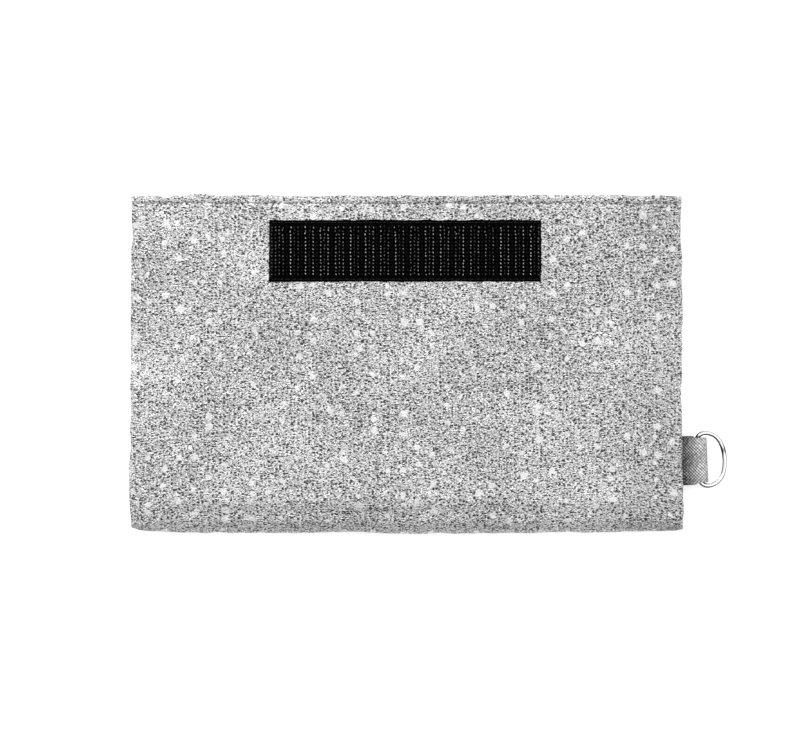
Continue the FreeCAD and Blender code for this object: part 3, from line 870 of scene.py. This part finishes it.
rng = np.random.default_rng(21)
hook_x = np.linspace(FIELD_LOW[0] + 0.15, FIELD_HIGH[0] - 0.15, HOOK_COLUMNS)
hook_y = np.linspace(FIELD_HIGH[1] - 0.8, FIELD_LOW[1] + 0.8, HOOK_ROWS)
column_index = np.arange(HOOK_COLUMNS)
# painted highlight for each column: some columns shine more than others
column_painted_highlight = np.array([0.10, 1.0, 0.42, 0.75])[column_index % 4] * rng.uniform(0.6, 1.2, HOOK_COLUMNS)
column_painted_highlight[:4] = 0.5
column_lean = np.where(column_index % 2 == 0, 1.0, -1.0)
gx, gy = np.meshgrid(hook_x, hook_y)
loose = 0.05 + 0.13 * (np.arange(HOOK_ROWS) < 3)[:, None]  # the top rows are the most worn
gx = gx + rng.normal(0, 1, gx.shape) * loose
gy = gy + rng.normal(0, 1, gy.shape) * loose + 0.18 * (column_index % 4 == 2)
tilt = rng.normal(0, 0.13, gx.shape).ravel()
turn = (column_lean * pi / 2 + 0.25 + rng.normal(0, 0.3, gx.shape)).ravel()
hx = level(np.cos(turn), np.sin(turn))
hz = np.stack([np.sin(tilt) * np.cos(turn), np.sin(tilt) * np.sin(turn), np.cos(tilt)], axis=1)
hy = unit(np.cross(hz, hx))
tall = (FIELD_HIGH[2] - FIELD_LOW[2]) * rng.uniform(0.9, 1.0, len(turn))
# painted highlight of each hook, taken from its column's
hook_painted_highlight = (column_painted_highlight * rng.uniform(0.6, 1.25, gx.shape)).ravel()
template, faces = hook_template()
hooks = scatter(
    "hook_field_hooks", template, faces, np.stack([np.cross(hy, hz), hy, hz], axis=1),
    np.stack([gx, gy, np.full_like(gx, FIELD_LOW[2] - 0.02)], axis=2).reshape(-1, 3), HOOKS,
    tall[:, None, None] * [0.95, 1.25, 1.0],
    np.clip(np.outer(hook_painted_highlight, np.repeat(HOOK_PAINTED_HIGHLIGHT, HOOK_SIDES)), 0, 1),
)
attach(hooks, "bag")
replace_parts(hooks, "hook_field")

places, tangents = tape_outline(TAPE_LOW, TAPE_HIGH, TAPE_HIGH[2] - 0.02, 2.6)
tape_stitch = stitches("hook_tape_stitches", places, tangents, UP, 2.1, 0.3, TAPE_THREAD)
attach(tape_stitch, "bag")
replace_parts(tape_stitch, "hook_tape_stitch")

# ---- the turn round the mouth

TURN_MIDDLE_Z = (joint_mm("mouth_fold")[2] + joint_mm("wrap_fold")[2]) / 2
TURN_INNER = RECESS_Z - TURN_MIDDLE_Z
TURN_OVERLAP = 0.25
TURN_LENGTH = 2.5  # of each half, along the strip
turn_x = np.linspace(-FLAP_HALF, FLAP_HALF, 145)


def turn_piece(name, radius, thickness, upper, liner):
    """One half of the turn, from the straight part to halfway. Silver is inside, and the liner outside."""
    sign = 1 if upper else -1
    straight = steps(BACK_END_Y - TURN_OVERLAP, TURN_Y, 0.3)
    angles = np.radians(np.linspace(90, 0, 9))
    path_y = np.concatenate([straight, TURN_Y + radius * np.cos(angles)])
    path_z = TURN_MIDDLE_Z + sign * radius * np.concatenate([np.ones(len(straight)), np.sin(angles)])
    path = np.stack([path_y, path_z], axis=1)[::sign]
    y, x = np.meshgrid(path[:, 0], turn_x, indexing="ij")
    z = path[:, 1:] + 0 * x
    t = BACK_END_T + lengths(path)[:, None] + (0 if upper else TURN_LENGTH) + 0 * x
    points = np.stack([x + SHIFT_X, y, z], axis=2)
    o = grid_piece(name, points, level(x, t), LINER_CLOTH if liner else SILVER, thickness)

    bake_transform(o)
    return o


turn_upper_cloth = turn_piece("turn_upper_cloth", TURN_INNER, CLOTH, True, False)
turn_piece("turn_lower_cloth", TURN_INNER, CLOTH, False, False)
turn_upper_liner = turn_piece("turn_upper_liner", TURN_INNER + CLOTH, LINER, True, True)
turn_piece("turn_lower_liner", TURN_INNER + CLOTH, LINER, False, True)
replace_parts(turn_upper_cloth, "turn_cloth")
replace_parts(turn_upper_liner, "turn_liner")

# ---- the flap

WRAP_HEM_LOW, WRAP_HEM_HIGH = corner_mm("wrap_hem")
PANEL_HEM_Y = corner_mm("flap_hem")[1][1]
FLAP_LIP_X = FLAP_HALF - HEM_ROLL
FLAP_CORE_Z = FLAP_Z - HEM_ROLL
FREE_TURN_Y = FREE_Y + HEM_ROLL
FLAP_T = 5.0  # from the back's end to the flap's start, along the strip
BEND_FINE = 3.0  # rows are finer this near to the flap's fold

# Columns: each side's turned edge, then its hem, which lies back under the flap
hem_run = np.linspace(0, HEM - HEM_ROLL, 6)[1:]
lip_part = np.arange(1, LIP_STEPS + 1) / LIP_STEPS
right_x = FLAP_LIP_X + np.concatenate([HEM_ROLL * np.cos(lip_angle), -hem_run])
right_z = FLAP_CORE_Z + HEM_ROLL * np.concatenate([np.sin(lip_angle), -np.ones(len(hem_run))])
right_flat = FLAP_LIP_X + HEM_ROLL * np.concatenate([lip_part, np.ones(len(hem_run))])
right_s = FLAP_LIP_X + np.concatenate([lip_part * pi * HEM_ROLL, pi * HEM_ROLL + hem_run])
flap_flat = np.linspace(-FLAP_LIP_X, FLAP_LIP_X, 213)
flap_x = both_sides(right_x, flap_flat)
flap_z = np.concatenate([right_z[::-1], np.full(len(flap_flat), FLAP_Z), right_z])
flap_opened = both_sides(right_flat, flap_flat)
flap_s = both_sides(right_s, flap_flat)
flap_core_x = np.clip(flap_x, -FLAP_LIP_X, FLAP_LIP_X)
FLAP_MIDDLE = len(flap_x) // 2
EXTRA = len(right_x)
from_side = np.minimum(np.arange(len(flap_x)), np.arange(len(flap_x))[::-1])
in_hem = from_side < EXTRA - LIP_STEPS
in_edge = from_side < EXTRA

flap_kind, flap_value = row_list(
    ("flat", steps(BACK_END_Y + TURN_OVERLAP, BEND_Y + BEND_FINE, 0.7)),
    ("flat", steps(BEND_Y + BEND_FINE, BEND_Y - BEND_FINE, 0.3)),
    ("flat", steps(BEND_Y - BEND_FINE, FREE_TURN_Y, 1.0)),
    ("roll", np.radians(steps(0, 180, 15))),
    ("hem", np.linspace(FREE_TURN_Y, FREE_Y + HEM, 7)),
)


def hemmed(y):
    """Whether the side hems are there at that y. They stop short of the fold lines."""
    return (WRAP_HEM_LOW[1] < y) & (y < WRAP_HEM_HIGH[1]) | (y < PANEL_HEM_Y)


LEAST_FOLD = 0.03  # of the side edges' height, where they turn round the free edge
flap_grid = np.zeros((len(flap_kind), len(flap_x), 3))
for i, (kind, value) in enumerate(zip(flap_kind, flap_value)):
    x, y, z = flap_x, value, flap_z
    if kind == "flat":
        if not hemmed(value):
            x, z = flap_opened, np.full(len(flap_x), FLAP_Z)
    else:
        turn = cos(value) if kind == "roll" else -1.0
        shrink = np.where(in_edge, max(turn, LEAST_FOLD), turn)
        x = flap_core_x + (x - flap_core_x) * shrink
        z = FLAP_CORE_Z + (z - FLAP_CORE_Z) * shrink
        if kind == "roll":
            y = FREE_TURN_Y - HEM_ROLL * sin(value)
    flap_grid[i] = np.stack([x, np.full(len(x), y), z], axis=1)

FS, FT = np.meshgrid(flap_s, BACK_END_T + FLAP_T + lengths(flap_grid[:, FLAP_MIDDLE]))
flap_rest = level(FS, FT)
x, y = flap_grid[..., 0], flap_grid[..., 1]
y += ease((FREE_Y + 8 - y) / 8) * 0.22 * sample(EDGE_WAVE, FS, 260.0)
x += np.sign(x) * ease((np.abs(x) - 96) / 10) * 0.18 * sample(EDGE_WAVE, 70 * np.sign(FS), FT)
flap_height = creases(FS, FT, 0.8) * (1 - 0.8 * in_edge)
flap_height *= np.where(flap_kind == "flat", 1.0, 0.3)[:, None]
flap_height *= 1 - 0.6 * over_tape(x, y, LOOP_LOW, LOOP_HIGH, 0)
flap_height = np.clip(flap_height, -0.3, 0.12)
flap_normal = grid_normals(flap_grid)
flap_grid += flap_normal * flap_height[..., None]
flap_grid[..., 0] += SHIFT_X

middle_y = flap_grid[:, FLAP_MIDDLE, 1]
flap_keep = np.ones((len(flap_kind) - 1, len(flap_x) - 1), bool)
bare = (flap_kind[:-1] == "flat") & ~hemmed((middle_y[:-1] + middle_y[1:]) / 2)
flap_keep[np.ix_(bare, in_hem[:-1] | in_hem[1:])] = False
past_turn = (flap_kind[:-1] == "roll") & (flap_value[:-1] > radians(89))
side_faces = np.abs((flap_core_x[:-1] + flap_core_x[1:]) / 2) > FLAP_HALF - HEM
under_free = (flap_kind[:-1] == "hem") | past_turn
flap_keep[np.ix_(under_free, in_edge[:-1] | in_edge[1:] | side_faces)] = False

flap_cloth = grid_piece("flap_cloth_panel", flap_grid, flap_rest, SILVER, CLOTH, flap_keep)
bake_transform(flap_cloth)
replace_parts(flap_cloth, "wrap_cloth", "wrap_hem", "flap_cloth", "flap_hem")

part = np.ix_(
    np.flatnonzero((flap_kind == "flat") & (middle_y > FREE_TURN_Y + 0.5)),
    np.arange(EXTRA, len(flap_x) - EXTRA, 2),
)
liner_points = (flap_grid - flap_normal * (CLOTH + 0.02))[part]
flap_liner = grid_piece("flap_liner_panel", liner_points, flap_rest[part], LINER_CLOTH, LINER - 0.04)
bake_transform(flap_liner)
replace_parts(flap_liner, "wrap_liner", "flap_liner")

# Stitches of the flap's hem, seen on both sides, and the loop tape
HEM_STITCH_IN = 1.6  # from the hem's raw edge
hem_x = FLAP_HALF - HEM + HEM_STITCH_IN
hem_y = FREE_Y + HEM - HEM_STITCH_IN
hem_top_y = corner_mm("flap_hem_stitch")[1][1]


def hem_stitches(name, z, up):
    left, right = SHIFT_X - hem_x, SHIFT_X + hem_x
    corners = [(left, hem_top_y, z), (left, hem_y, z), (right, hem_y, z), (right, hem_top_y, z)]
    o = stitches(name, *stitch_runs(corners, 3.0), up, 2.3, 0.34, THREAD)
    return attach(o, "flap")


under_stitch = hem_stitches("flap_hem_stitches", FLAP_Z - 2 * HEM_ROLL - 0.02, DOWN)
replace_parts(under_stitch, "flap_hem_stitch")
top_stitch = hem_stitches("flap_top_stitches", FLAP_Z - 0.04, UP)

loop_base = tape_base("loop_tape_base", LOOP_LOW, LOOP_HIGH, -1, LOOP_TAPE, 90)
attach(loop_base, "flap")
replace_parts(loop_base, "loop_tape")
loop_sides = [("loop_tape_stitches", LOOP_LOW[2] + 0.02, DOWN), ("loop_tape_top_stitches", FLAP_Z - 0.04, UP)]
for name, z, up in loop_sides:
    row = stitches(name, *tape_outline(LOOP_LOW, LOOP_HIGH, z, 2.7), up, 2.1, 0.3, TAPE_THREAD)
    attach(row, "flap")
    if up is DOWN:
        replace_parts(row, "loop_tape_stitch")

PILE_LOW, PILE_HIGH = corner_mm("loop_pile")
PILE_PITCH = 1.15
rng = np.random.default_rng(31)
pile_x = np.arange(PILE_LOW[0] + 0.6, PILE_HIGH[0] - 0.5, PILE_PITCH)
pile_y = np.arange(PILE_LOW[1] + 0.6, PILE_HIGH[1] - 0.5, PILE_PITCH * 0.9)
px, py = [a.ravel() + rng.normal(0, 0.2, a.size) for a in np.meshgrid(pile_x, pile_y)]
arch = np.radians(np.linspace(0, 180, 7))
arch_path = np.stack([0.55 * np.cos(arch), 0.12 * np.sin(3 * arch), np.sin(arch)], axis=1)
template, faces = tube(arch_path, 0.11, 4)
spin = rng.uniform(0, pi, len(px))
lean = rng.normal(0, 0.25, len(px))
ax_x = level(np.cos(spin), np.sin(spin))
ax_z = np.stack([-np.sin(spin) * np.sin(lean), np.cos(spin) * np.sin(lean), -np.cos(lean)], axis=1)
pile_size = (PILE_HIGH[2] - PILE_LOW[2] - 0.12) * rng.uniform(0.75, 1.0, len(px))
pile_piece = scatter(
    "loop_pile_loops", template, faces, np.stack([ax_x, np.cross(ax_z, ax_x), ax_z], axis=1),
    np.stack([px, py, np.full(len(px), PILE_HIGH[2] + 0.02)], axis=1), PILE,
    pile_size[:, None, None] * [1.3, 1.3, 1.0],
)
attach(pile_piece, "flap")
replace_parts(pile_piece, "loop_pile")

# ---- webbing tab and D-ring

PIVOT = joint_mm("tab_fold")
BAR = joint_mm("ring_swing")
tab_v = -np.array(JOINTS["tab_fold"]["axis"], float)
ring_v = -np.array(JOINTS["ring_swing"]["axis"], float)
mount = next(m for m in frame["record"]["mounts"] if m["name"] == "clip_ring")
plane_up = np.array(mount["axis"], float)
tab_u, ring_u = np.cross(tab_v, plane_up), np.cross(ring_v, plane_up)
WEBBING = 0.7  # thickness
TAB_WIDTH, TAB_NARROW = 19.9, 18.0  # at the seam, and where the ring holds it
NARROW_FROM, NARROW_IN = 2.9, 2.3
TAB_COLUMNS = 93
TAB_STEP = 0.2
TAB_BEND = 0.9  # the webbing bends within this distance of its pivot
EYE_AT = 6.3
EYE_RADIUS = 2.6 + WEBBING / 2
RIB, RIB_ANGLE = 0.95, radians(50)  # the twill's pitch and direction
YARN = 1.28


def tab_path():
    """The webbing's middle line as (u, w), from the upper end in the seam, round the ring and back."""
    start = corner_mm("tab_anchor")[0][0] + 0.3 - PIVOT[0]
    half = WEBBING / 2 + 0.01
    leave = np.array([TAB_BEND, half])
    gap = np.array([EYE_AT, 0.0]) - leave
    distance = np.linalg.norm(gap)
    angle = atan2(gap[1], gap[0]) + asin(EYE_RADIUS / distance)
    reach = sqrt(distance**2 - EYE_RADIUS**2)
    touch = leave + reach * np.array([cos(angle), sin(angle)])
    touch_angle = atan2(touch[1], touch[0] - EYE_AT)
    line = [np.array([u, half]) for u in np.arange(start, TAB_BEND, TAB_STEP)]
    count = int(reach / TAB_STEP)
    line += [leave + (touch - leave) * k / count for k in range(count)]
    arc = np.linspace(touch_angle, 0, int(EYE_RADIUS * touch_angle / TAB_STEP))
    line += [np.array([EYE_AT + EYE_RADIUS * cos(a), EYE_RADIUS * sin(a)]) for a in arc]
    line = np.array(line)
    for _ in range(6):
        line[1:-1] = (line[:-2] + 2 * line[1:-1] + line[2:]) / 4
    return np.concatenate([line, line[-2::-1] * np.array([1.0, -1.0])])


tab_line = tab_path()
across = np.linspace(-0.5, 0.5, TAB_COLUMNS)
u = tab_line[:, :1] + 0 * across
w = tab_line[:, 1:] + 0 * across
width = TAB_WIDTH + (TAB_NARROW - TAB_WIDTH) * ease((u - NARROW_FROM) / NARROW_IN)
v = across * width
along = lengths(tab_line)[:, None] + 0 * v
twill = np.sin(2 * pi * (sin(RIB_ANGLE) * along + cos(RIB_ANGLE) * v) / RIB)
crossing = np.sin(2 * pi * along / YARN) * np.sin(2 * pi * v / YARN)
weave = 0.5 + 0.13 * twill + 0.42 * crossing + 0.08 * sample(CRINKLE, 2.4 * v, 2.4 * along)
selvage = (0.5 - np.abs(across)) * width  # distance from the webbing's edge
normal = unit(np.stack([-np.gradient(tab_line[:, 1]), np.gradient(tab_line[:, 0])], axis=1))
relief = 0.16 * (weave - 0.6) * ease(selvage / 0.5) - 0.12 * (1 - ease(selvage / 0.4))
u = u + normal[:, :1] * relief
w = w + normal[:, 1:] * relief
in_seam = (1 - ease((u + TAB_BEND) / 1.6))[..., None]
straight = np.stack([PIVOT[0] + u, PIVOT[1] + v, PIVOT[2] + w], axis=2)
tilted = PIVOT + u[..., None] * tab_u + v[..., None] * tab_v + w[..., None] * plane_up
tab_points = straight * in_seam + tilted * (1 - in_seam)
# painted shade: the webbing is darker in the seam, where the bag's edge shades it, and paler round the ring
painted_shade = 0.18 + 0.47 * ease((u + 1.8) / 9.0)  # dark in the seam, paler round the ring
tab = add_mesh(
    "webbing_tab", tab_points, grid_faces(*u.shape)[:, ::-1], WEBBING_CLOTH, level(v, along),
    painted_shade + 0.92 * (weave - 0.5),
)
solidify(tab, WEBBING - 0.12, 0.0)
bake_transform(tab)
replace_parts(tab, "tab_loop", "tab_anchor")

WIRE = 1.9
RING_SIDES = 40
RING_HALF = 10.75
RING_REACH = 11.4
RING_CORNER = 3.6
RING_SHOULDER = 7.2


def ring_path():
    """The ring's middle line: bar, corner, shoulder, far side, and the same back again."""
    shoulder_v = RING_HALF - RING_SHOULDER
    inset = RING_REACH - RING_SHOULDER
    far_u = (inset**2 - RING_CORNER**2 - shoulder_v**2) / (2 * (inset - RING_CORNER))
    split = atan2(shoulder_v, RING_CORNER - far_u)
    bar_half = RING_HALF - RING_CORNER
    points = [(0.0, y) for y in np.linspace(-bar_half, bar_half, 24, endpoint=False)]
    for cu, cv, r, a0, a1, count in (
        (RING_CORNER, bar_half, RING_CORNER, pi, pi / 2, 20),
        (RING_CORNER, shoulder_v, RING_SHOULDER, pi / 2, split, 24),
        (far_u, 0.0, RING_REACH - far_u, split, -split, 32),
        (RING_CORNER, -shoulder_v, RING_SHOULDER, -split, -pi / 2, 24),
        (RING_CORNER, -bar_half, RING_CORNER, -pi / 2, -pi, 20),
    ):
        for a in np.linspace(a0, a1, count, endpoint=False):
            points.append((cu + r * cos(a), cv + r * sin(a)))
    return np.array(points)


path = ring_path()
centre = BAR + path[:, :1] * ring_u + path[:, 1:] * ring_v
tangent = unit(np.roll(centre, -1, axis=0) - np.roll(centre, 1, axis=0))
up = np.broadcast_to(plane_up, centre.shape)
ring_points = rings(centre, WIRE / 2, np.cross(tangent, plane_up), up, RING_SIDES)
run = np.cumsum(np.linalg.norm(np.roll(centre, -1, axis=0) - centre, axis=1))
angle = around(RING_SIDES)
ring_rest = np.stack(np.broadcast_arrays(run[:, None], np.cos(angle), np.sin(angle)), axis=2)

# The wire's two sides, as seen from above, carry a painted dark reflection. It is stronger towards the
# webbing and the lower side, and widest in two patches, each at an angle round the ring's middle.
ring_normal = (ring_points - centre[:, None]) / (WIRE / 2)
reflection_darkness = 0.55 + 0.45 * (ring_normal @ -(ring_u + ring_v)) / sqrt(2)
where = np.degrees(np.arctan2(path[:, 1], path[:, 0] - RING_REACH / 2))[:, None]
reflection_darkness = reflection_darkness + 0.7 * bell((where - 30) / 22) + 0.9 * bell((where - 122) / 14)
side_on = 1 - np.abs(ring_normal[..., 2])
painted_reflection = np.clip((side_on - 0.31 + 0.26 * reflection_darkness) * 9, 0, 1) * (0.2 + 0.8 * reflection_darkness)
ring = add_mesh(
    "d_ring_wire", ring_points, ring_faces(len(path), RING_SIDES, closed=True), RING_METAL,
    ring_rest, np.clip(painted_reflection, 0, 1),
)
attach(ring, "ring")
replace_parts(ring, "d_ring")

# ---- floor, light and camera

FLOOR_HALF = 3.0  # in metres
FLOOR_Z = -0.0003
FLOOR_CUTS = 12
line = np.linspace(-FLOOR_HALF, FLOOR_HALF, FLOOR_CUTS)
fx, fy = np.meshgrid(line, line[::-1])
floor_points = np.stack([fx, fy, np.full_like(fx, FLOOR_Z)], axis=2).reshape(-1, 3)
floor_mesh = bpy.data.meshes.new("floor")
floor_mesh.from_pydata(floor_points.tolist(), [], grid_faces(FLOOR_CUTS, FLOOR_CUTS).tolist())
floor_mesh.materials.append(floor_material())
floor = add_object("floor", floor_mesh)

world = bpy.data.worlds.new("studio")
world.use_nodes = True
tree = world.node_tree
split = node(tree, "SeparateXYZ", {0: node(tree, "TexCoord").outputs["Generated"]})
height_up = weighted(tree, [(split.outputs["Y"], 0.42), (split.outputs["X"], -0.06)], split.outputs["Z"])
sky = ramp(tree, height_up, [(0.0, 0.12), (0.25, 0.30), (0.6, 0.88), (1.0, 1.0)])
plug(tree, tree.nodes["Background"], {"Color": sky, "Strength": 0.95})
bpy.context.scene.world = world


def area_light(name, place, size, power):
    """A rectangular light that faces the origin. Its place and size are in metres."""
    light = bpy.data.lights.new(name, "AREA")
    light.shape = "RECTANGLE"
    light.size, light.size_y = size
    light.energy = power
    o = add_object(name, light)
    o.location = place
    o.rotation_euler = (-Vector(place)).to_track_quat("-Z", "Y").to_euler()


area_light("key", (-0.5, 1.1, 1.4), (1.0, 1.0), 18.0)
area_light("fill", (1.1, -0.3, 1.4), (1.2, 1.2), 3.0)

CAMERA_LENS = 400.0
SENSOR = 36.0
VIEW_WIDTH = 325.2  # of the picture, at the height of the side edges
VIEW_X, VIEW_Y = -11.84, -4.27
camera_data = bpy.data.cameras.new("camera")
camera_data.lens = CAMERA_LENS
camera_data.sensor_width = SENSOR
camera_data.clip_end = 20.0
camera = add_object("camera", camera_data)
camera.location = (VIEW_X * MM, VIEW_Y * MM, (EDGE_Z + VIEW_WIDTH / SENSOR * CAMERA_LENS) * MM)
bpy.context.scene.camera = camera
bpy.context.scene.view_settings.view_transform = "Standard"
